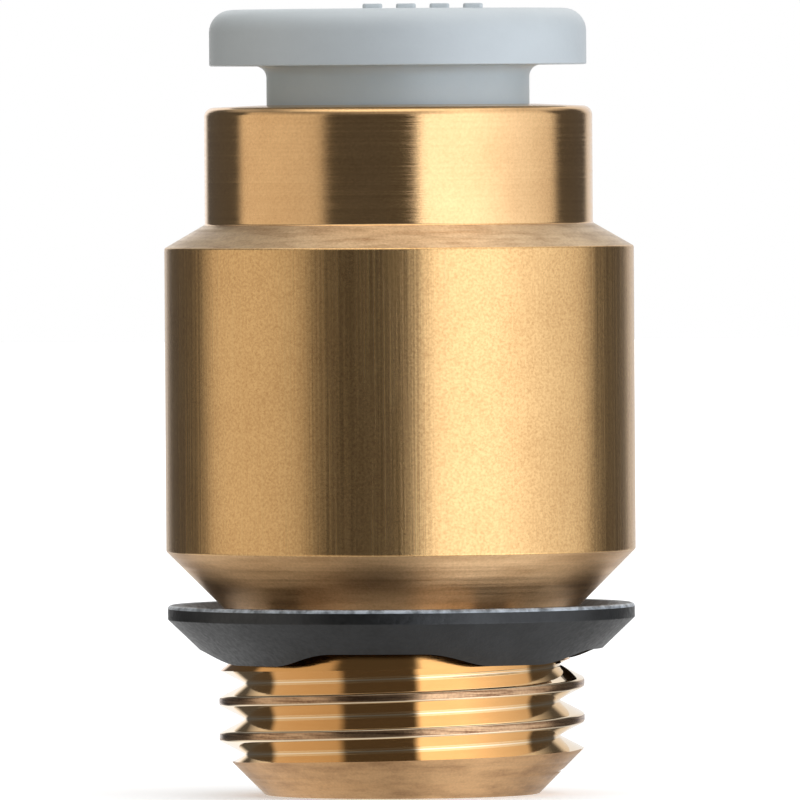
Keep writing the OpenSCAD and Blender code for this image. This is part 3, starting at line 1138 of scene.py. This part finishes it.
@dataclass
class Gasket:
    """The conical gasket, rubber over a steel core, loose on the stud."""

    rim_r: float = 5.97
    dish_r: float = 5.61
    hole_r: float = 5.15
    flat_r: float = 4.8
    lobe_count: int = 4
    lobe_half: float = 32.0
    lobe_flat: float = 9.0
    turn_deg: float = 38.0
    lip_drop: float = 0.18
    lip_step: float = 0.02
    nib_r: float = 4.25
    nib_w: float = 1.2
    nib_room: float = 0.14
    nib_top_r: float = 4.50653
    z_nib: float = 3.56011
    z_nib_top: float = 3.76011
    z_rim: float = 4.50
    z_top: float = 4.86358
    core_r: float = 5.10
    core_w: float = 0.45
    core_h: float = 0.2
    core_cover: float = 0.16
    # Radii of edges and fillets
    edge_round: float = 0.09
    rim_foot_edge: float = 0.05
    dish_edge: float = 0.06
    nib_edge: float = 0.03
    nib_fillet: float = 0.1
    nib_corner: float = 0.12
    # The tool body of the hole
    wing_steps: int = 24
    hole_over: float = 1.0

    def section(self) -> list[Corner]:
        """Draw the rubber's half section.

        Returns:
            Its corners as radius and height.
        """
        return [
            Corner(self.nib_r, self.z_nib, self.nib_edge),
            Corner(self.flat_r - self.lip_step, self.z_nib),
            Corner(self.flat_r, self.z_nib - self.lip_drop),
            Corner(self.rim_r, self.z_rim, self.rim_foot_edge),
            Corner(self.rim_r, self.z_top, self.edge_round),
            Corner(self.dish_r, self.z_top, self.dish_edge),
            Corner(self.nib_top_r, self.z_nib_top),
            Corner(self.nib_r, self.z_nib_top, self.nib_edge),
        ]

    def core_section(self) -> list[Corner]:
        """Draw the steel core's half section.

        Returns:
            Its corners as radius and height.
        """
        low = self.z_top - (self.dish_r - self.core_r) - self.core_cover
        high = low + self.core_w
        out_r = self.core_r + self.core_w
        return [
            Corner(self.core_r, low - self.core_h), Corner(out_r, high - self.core_h),
            Corner(out_r, high), Corner(self.core_r, low),
        ]

    def hole_radius(self, off: float) -> float:
        """Measure the hole, which narrows in a smooth wave at each lobe.

        Args:
            off: The angle in radians from the middle of a lobe.

        Returns:
            The hole's radius there.
        """
        way = (math.degrees(abs(off)) - self.lobe_flat) / (self.lobe_half - self.lobe_flat)
        swell = (1 + math.cos(math.pi * min(max(way, 0.0), 1.0))) / 2
        return self.hole_r - (self.hole_r - self.flat_r) * swell

    def hole(self) -> list[Vector]:
        """Draw the hole: round, with lobes and a nib on each.

        Returns:
            The outline's points in the plane.
        """
        half = self.nib_w / 2
        reach = 180 / self.lobe_count
        start = math.degrees(math.atan2(half + self.nib_room, self.flat_r))
        steps = self.wing_steps
        wing: list[Corner] = []
        for angle in (math.radians(-reach + (reach - start) * k / steps) for k in range(steps + 1)):
            r = self.hole_radius(angle)
            wing.append(Corner(r * math.cos(angle), r * math.sin(angle)))
        nib = [Corner(self.flat_r, -half, self.nib_fillet), Corner(self.nib_r, -half, self.nib_corner)]
        side = wing + nib
        lobe = side + [Corner(p.a, -p.b, p.soft) for p in reversed(side[1:])]
        corners: list[Corner] = []
        for k in range(self.lobe_count):
            turn = math.radians(self.turn_deg + 2 * reach * k)
            cos, sin = math.cos(turn), math.sin(turn)
            corners += [Corner(p.a * cos - p.b * sin, p.a * sin + p.b * cos, p.soft) for p in lobe]
        return rounded(corners)

    def build(self) -> list[Piece]:
        """Model the rubber and its core.

        Returns:
            The rubber and the core.
        """
        rubber = Bench.turn("gasket_moulded", self.section())
        hole = Bench.prism("hole", self.hole(), self.z_nib - self.hole_over, self.z_top + self.hole_over)
        Bench.combine(rubber, hole, Cut.TAKE_OFF)
        Bench.combine(rubber, Bench.turn("core_room", self.core_section()), Cut.TAKE_OFF)
        return [Bench.done(rubber), Bench.done(Bench.turn("gasket_core_ring", self.core_section()))]

    def dress(self, pieces: Sequence[Piece]) -> None:
        """Give the rubber its black with a painted highlight on the rim's rounded top edge, and the core its
        steel.

        Args:
            pieces: The rubber and its core.
        """
        rubber, core = pieces
        # Pale blue-grey tones, broken up by a coarse grain, paint a highlight along the rim's rounded top
        # edge.
        highlight_grain = Texture(3.0, 3.0, detail=4.0, low=0.38, high=0.62)
        coat(
            rubber,
            RubberFinish("gasket_rubber_black"),
            RubberFinish(
                "gasket_rubber_painted_highlight", tone=(0.16, 0.175, 0.19), shade=(0.52, 0.57, 0.62), rough=0.30,
                cloud=highlight_grain,
            ),
        )
        # The faces on the rim's rounded top edge take the painted highlight.
        low, inner = self.z_top - self.edge_round, self.rim_r - self.edge_round
        paint(rubber, lambda r, z: int(r > inner and z > low))
        coat(core, SteelFinish("core_steel_grey"))
        hand_over(rubber, "gasket", "gasket_rubber", "gasket_rubber")
        hand_over(core, "gasket", "core_steel", "gasket_core")


@dataclass
class Chuck:
    """The holder, the steel ring and the twelve sprung fingers that grip the tube."""

    holder_in_r: float = 2.15
    holder_r: float = 4.2
    cup_r: float = 3.55
    z_holder: float = 11.3135
    holder_floor: float = 0.55
    z_ring: float = 13.7635
    ring_in_r: float = 3.4
    ring_thick: float = 0.25
    pivot_r: float = 3.38
    pivot_z: float = 13.8885
    finger_count: int = 12
    finger_len: float = 1.80047
    finger_thick: float = 0.22
    finger_slope: float = 33.0
    finger_slot: float = 0.35
    finger_tip_r: float = 1.87
    hinge_root: float = 0.16
    # Radii of edges and fillets
    holder_edge: float = 0.08
    holder_top_edge: float = 0.04
    cup_edge: float = 0.06
    cup_fillet: float = 0.15
    ring_under_edge: float = 0.03
    ring_top_edge: float = 0.05
    finger_root_round: float = 0.06
    finger_tip_round: float = 0.02
    finger_arc_step: float = 30.0
    finger_edge: float = 0.02
    finger_edge_deg: float = 50.0

    def holder_section(self) -> list[Corner]:
        """Draw the holder's half section.

        Returns:
            Its corners as radius and height.
        """
        floor = self.z_holder + self.holder_floor
        return [
            Corner(self.holder_in_r, self.z_holder, self.holder_edge),
            Corner(self.holder_r, self.z_holder, self.holder_edge),
            Corner(self.holder_r, self.z_ring, self.holder_top_edge),
            Corner(self.cup_r, self.z_ring, self.cup_edge),
            Corner(self.cup_r, floor, self.cup_fillet),
            Corner(self.holder_in_r, floor, self.holder_edge),
        ]

    def ring_section(self) -> list[Corner]:
        """Draw the steel ring's half section.

        Returns:
            Its corners as radius and height.
        """
        top = self.z_ring + self.ring_thick
        return [
            Corner(self.ring_in_r, self.z_ring, self.ring_under_edge),
            Corner(self.holder_r, self.z_ring, self.ring_under_edge),
            Corner(self.holder_r, top, self.ring_top_edge),
            Corner(self.ring_in_r, top, self.ring_top_edge),
        ]

    def finger(self) -> Piece:
        """Model one finger, lying flat with its hinge at the origin.

        Returns:
            The finger.
        """
        half_step = math.radians(180 / self.finger_count)
        root_r = self.pivot_r - self.hinge_root * math.cos(math.radians(self.finger_slope))
        root = root_r * math.tan(half_step) - self.finger_slot / 2
        tip = self.finger_tip_r * math.tan(half_step) - self.finger_slot / 2
        corners = [
            Corner(-self.hinge_root, -root, self.finger_root_round),
            Corner(-self.hinge_root, root, self.finger_root_round),
            Corner(-self.finger_len, tip, self.finger_tip_round),
            Corner(-self.finger_len, -tip, self.finger_tip_round),
        ]
        outline = rounded(corners, self.finger_arc_step)
        piece = Bench.prism("finger", outline, -self.finger_thick / 2, self.finger_thick / 2)
        Bench.soften(piece, self.finger_edge, self.finger_edge_deg)
        return piece

    def build(self) -> list[Piece]:
        """Model the holder, the ring and the fingers.

        Returns:
            The pieces in that order.
        """
        holder = Bench.done(Bench.turn("chuck_holder_cup", self.holder_section()))
        ring = Bench.done(Bench.turn("chuck_ring_stamped", self.ring_section()))
        pattern = self.finger()
        slope = Matrix.Rotation(math.radians(-self.finger_slope), 4, "Y")
        lie = Matrix.Translation((self.pivot_r, 0, self.pivot_z)) @ slope
        fingers = []
        for i in range(self.finger_count):
            turn = Matrix.Rotation(2 * math.pi * i / self.finger_count, 4, "Z")
            fingers.append(Bench.done(Bench.copy(pattern, f"finger_tongue_{i + 1:02d}"), turn @ lie))
        bpy.data.objects.remove(pattern)
        return [holder, ring, *fingers]

    def dress(self, pieces: Sequence[Piece]) -> None:
        """Give the holder its plastic, and the ring and the fingers their steel.

        Args:
            pieces: The holder, the ring and the fingers.
        """
        holder, ring, *fingers = pieces
        plastic = PlasticFinish(
            "holder_moulding", tone=(0.80, 0.78, 0.70), shade=(0.74, 0.71, 0.62), rough=0.38,
        )
        coat(holder, plastic)
        hand_over(holder, "chuck_set", "holder_plastic", "chuck_holder")
        finish = SteelFinish("chuck_steel", tone=(0.66, 0.66, 0.65), shade=(0.44, 0.44, 0.44), rough=0.22)
        steel = finish.make()
        ring.data.materials.append(steel)
        hand_over(ring, "chuck_set", "spring_steel", "chuck_ring")
        for i, finger in enumerate(fingers):
            finger.data.materials.append(steel)
            hand_over(finger, f"finger_{i + 1:02d}", "spring_steel", f"chuck_finger_{i + 1:02d}")


@dataclass
class MouthParts:
    """The guide ring under the lip, and the tube seal below the chuck."""

    skirt_r: float = 3.78
    guide_r: float = 4.24
    mouth_r: float = 3.46
    z_guide: float = 14.0635
    z_guide_top: float = 17.0635
    z_web: float = 16.5235
    seal_in_r: float = 2.03
    seal_out_r: float = 3.57
    seal_lip: float = 0.45
    seal_groove: float = 0.8
    seal_taper: float = 0.3
    z_seal_low: float = 9.3135
    z_seal_high: float = 11.2535
    # Radii of edges and fillets
    guide_edge: float = 0.05
    guide_top_edge: float = 0.06
    seal_edge: float = 0.05
    seal_lip_edge: float = 0.08
    seal_round: float = 0.1

    def guide_section(self) -> list[Corner]:
        """Draw the guide ring's half section.

        Returns:
            Its corners as radius and height.
        """
        return [
            Corner(self.skirt_r, self.z_guide, self.guide_edge),
            Corner(self.guide_r, self.z_guide, self.guide_edge),
            Corner(self.guide_r, self.z_guide_top, self.guide_top_edge),
            Corner(self.mouth_r, self.z_guide_top, self.guide_top_edge),
            Corner(self.mouth_r, self.z_web, self.guide_edge),
            Corner(self.skirt_r, self.z_web, self.guide_top_edge),
        ]

    def seal_section(self) -> list[Corner]:
        """Draw the tube seal's half section.

        Returns:
            Its corners as radius and height.
        """
        middle = (self.seal_in_r + self.seal_out_r) / 2
        return [
            Corner(self.seal_in_r, self.z_seal_low, self.seal_edge),
            Corner(self.seal_in_r + self.seal_lip, self.z_seal_low, self.seal_lip_edge),
            Corner(middle, self.z_seal_low + self.seal_groove, self.seal_round),
            Corner(self.seal_out_r - self.seal_lip, self.z_seal_low, self.seal_lip_edge),
            Corner(self.seal_out_r, self.z_seal_low, self.seal_edge),
            Corner(self.seal_out_r, self.z_seal_high, self.seal_round),
            Corner(self.seal_in_r + self.seal_taper, self.z_seal_high, self.seal_round),
        ]

    def build(self) -> list[Piece]:
        """Model the guide ring and the seal.

        Returns:
            The guide ring and the seal.
        """
        guide = Bench.done(Bench.turn("guide_ring_turned", self.guide_section()))
        seal = Bench.done(Bench.turn("tube_seal_moulded", self.seal_section()))
        return [guide, seal]

    def dress(self, pieces: Sequence[Piece]) -> None:
        """Give the guide ring its steel and the seal its rubber.

        Args:
            pieces: The guide ring and the seal.
        """
        guide, seal = pieces
        coat(guide, SteelFinish("guide_steel_bright", tone=(0.62, 0.62, 0.61)))
        coat(seal, RubberFinish("seal_rubber_black", rough=0.34))
        hand_over(guide, "fitting", "guide_steel", "guide_ring")
        hand_over(seal, "fitting", "seal_rubber", "tube_seal")


@dataclass(frozen=True)
class Glow:
    """One stop of a ring of light: degrees from the camera to the right, brightness and tint."""

    deg: float
    grey: float
    tint: Tint = Tint.PLAIN

    def stop(self) -> tuple[float, Colour]:
        """Return the place on the ring, from 0 to 1, and the colour there."""
        return (self.deg + 180) / 360, tuple(self.grey * part for part in self.tint.value)


@dataclass
class Studio:
    """The camera, the pale floor and the soft light round the fitting."""

    eye: Colour = (0.0, -460.0, 17.5)
    aim: Colour = (0.0, 0.0, 10.07)
    lens: float = 810.0
    sensor: float = 36.0
    roll: float = 0.38
    clip_near: float = 10.0
    clip_far: float = 10000.0
    floor_r: float = 900.0
    floor_sides: int = 128
    floor_drop: float = 0.01
    floor_tone: Colour = (0.93, 0.93, 0.93)
    floor_rough: float = 0.9
    floor_glow: float = 0.35
    light_peak: float = 2.3
    overhead: float = 0.72
    beneath: float = 0.31
    # Upward shares of a direction between which one ring of light goes over into the next
    below_band: tuple[float, float] = (-0.30, -0.50)
    beneath_band: tuple[float, float] = (-0.75, -0.95)
    above_band: tuple[float, float] = (0.40, 0.60)
    overhead_band: tuple[float, float] = (0.75, 0.95)

    @staticmethod
    def around() -> list[Glow]:
        """Lay out the light round the horizon: a panel on each side, dark between them, and pale behind.

        Returns:
            The ring's stops.
        """
        return [
            Glow(-180, 0.42), Glow(-165, 0.52), Glow(-156, 0.045), Glow(-112, 0.045),
            Glow(-105, 0.36, Tint.WARM), Glow(-75, 0.34, Tint.WARM), Glow(-49, 0.29, Tint.WARM),
            Glow(-42, 0.04), Glow(9, 0.04),
            Glow(14, 0.84, Tint.COOL), Glow(45, 0.82, Tint.COOL), Glow(75, 0.56, Tint.COOL), Glow(104, 0.38),
            Glow(110, 0.045), Glow(146, 0.045), Glow(153, 0.38), Glow(180, 0.42),
        ]

    @staticmethod
    def below() -> list[Glow]:
        """Lay out the light from the pale floor.

        Returns:
            The ring's stops.
        """
        return [
            Glow(-180, 0.55), Glow(-140, 0.45), Glow(-110, 0.28), Glow(-60, 0.34, Tint.WARM),
            Glow(-25, 0.06), Glow(5, 0.07), Glow(25, 1.1, Tint.COOL), Glow(70, 0.95, Tint.COOL),
            Glow(105, 0.45), Glow(140, 0.20), Glow(180, 0.55),
        ]

    @staticmethod
    def above() -> list[Glow]:
        """Lay out the light from over the panels.

        Returns:
            The ring's stops.
        """
        return [
            Glow(-180, 0.36), Glow(-110, 0.14), Glow(-45, 0.12), Glow(10, 0.22), Glow(45, 0.66),
            Glow(100, 0.32), Glow(140, 0.36), Glow(156, 0.50), Glow(168, 0.50), Glow(180, 0.36),
        ]

    def light(self) -> None:
        """Make the soft light from its rings, and white where the camera looks past the fitting."""
        world = bpy.data.worlds.new("studio_light")
        bpy.context.scene.world = world
        world.use_nodes = True
        graph = Graph(world.node_tree)
        way = graph.add("ShaderNodeTexCoord").outputs["Generated"]
        split = graph.add("ShaderNodeSeparateXYZ", {"Vector": way}).outputs
        angle = graph.math("ARCTAN2", split["X"], graph.math("MULTIPLY", split["Y"], -1.0))
        place = graph.math("MULTIPLY_ADD", angle, 1 / (2 * math.pi), 0.5)
        low, shade, high = (
            graph.ramp(place, [glow.stop() for glow in ring])
            for ring in (self.below(), self.around(), self.above())
        )
        for band, colour in (
            (self.below_band, low), (self.beneath_band, (self.beneath,) * 3),
            (self.above_band, high), (self.overhead_band, (self.overhead,) * 3),
        ):
            shade = graph.mix(graph.span(split["Z"], *band), shade, colour)
        lit = graph.add("ShaderNodeBackground", {"Color": shade, "Strength": self.light_peak})
        white = graph.add("ShaderNodeBackground", {"Color": Tint.PLAIN.value, "Strength": 1.0})
        seen = graph.add("ShaderNodeLightPath").outputs["Is Camera Ray"]
        choice = graph.work_out("ShaderNodeMixShader", (seen, lit.outputs[0], white.outputs[0]))
        graph.add("ShaderNodeOutputWorld", {"Surface": choice})

    def floor(self) -> None:
        """Lay the pale floor under the fitting, which shows it no reflection."""
        Bench.clear()
        bpy.ops.mesh.primitive_circle_add(
            vertices=self.floor_sides, radius=self.floor_r * MM, fill_type="NGON",
            location=(0, 0, -self.floor_drop * MM),
        )
        disc = bpy.context.object
        disc.name = disc.data.name = "studio_floor"
        bpy.ops.object.transform_apply(location=True)
        material, graph = new_material("floor_white")
        graph.surface({
            "Base Color": self.floor_tone, "Roughness": self.floor_rough,
            "Emission Color": Tint.PLAIN.value, "Emission Strength": self.floor_glow,
        })
        disc.data.materials.append(material)
        disc.visible_glossy = False
        disc.visible_diffuse = False
        Bench.clear()

    def camera(self) -> None:
        """Set the camera where the photograph was taken from."""
        data = bpy.data.cameras.new("studio_camera")
        camera = bpy.data.objects.new("studio_camera", data)
        bpy.context.scene.collection.objects.link(camera)
        data.lens = self.lens
        data.sensor_width = self.sensor
        data.clip_start = self.clip_near * MM
        data.clip_end = self.clip_far * MM
        eye = Vector(self.eye) * MM
        look = (Vector(self.aim) * MM - eye).to_track_quat("-Z", "Y")
        camera.location = eye
        camera.rotation_mode = "QUATERNION"
        camera.rotation_quaternion = look @ Quaternion((0, 0, 1), math.radians(-self.roll))
        bpy.context.scene.camera = camera

    def set_up(self) -> None:
        """Make the light, the floor and the camera."""
        bpy.context.scene.view_settings.view_transform = "Standard"
        self.light()
        self.floor()
        self.camera()


def main() -> None:
    """Build every piece of the fitting in order, dress it, and set up the studio."""
    logging.basicConfig(level=logging.INFO, format="%(name)s: %(message)s")
    for part in (BrassBody(), ReleaseButton(), Gasket(), Chuck(), MouthParts()):
        part.dress(part.build())
    Studio().set_up()


if __name__ == "__main__":
    main()
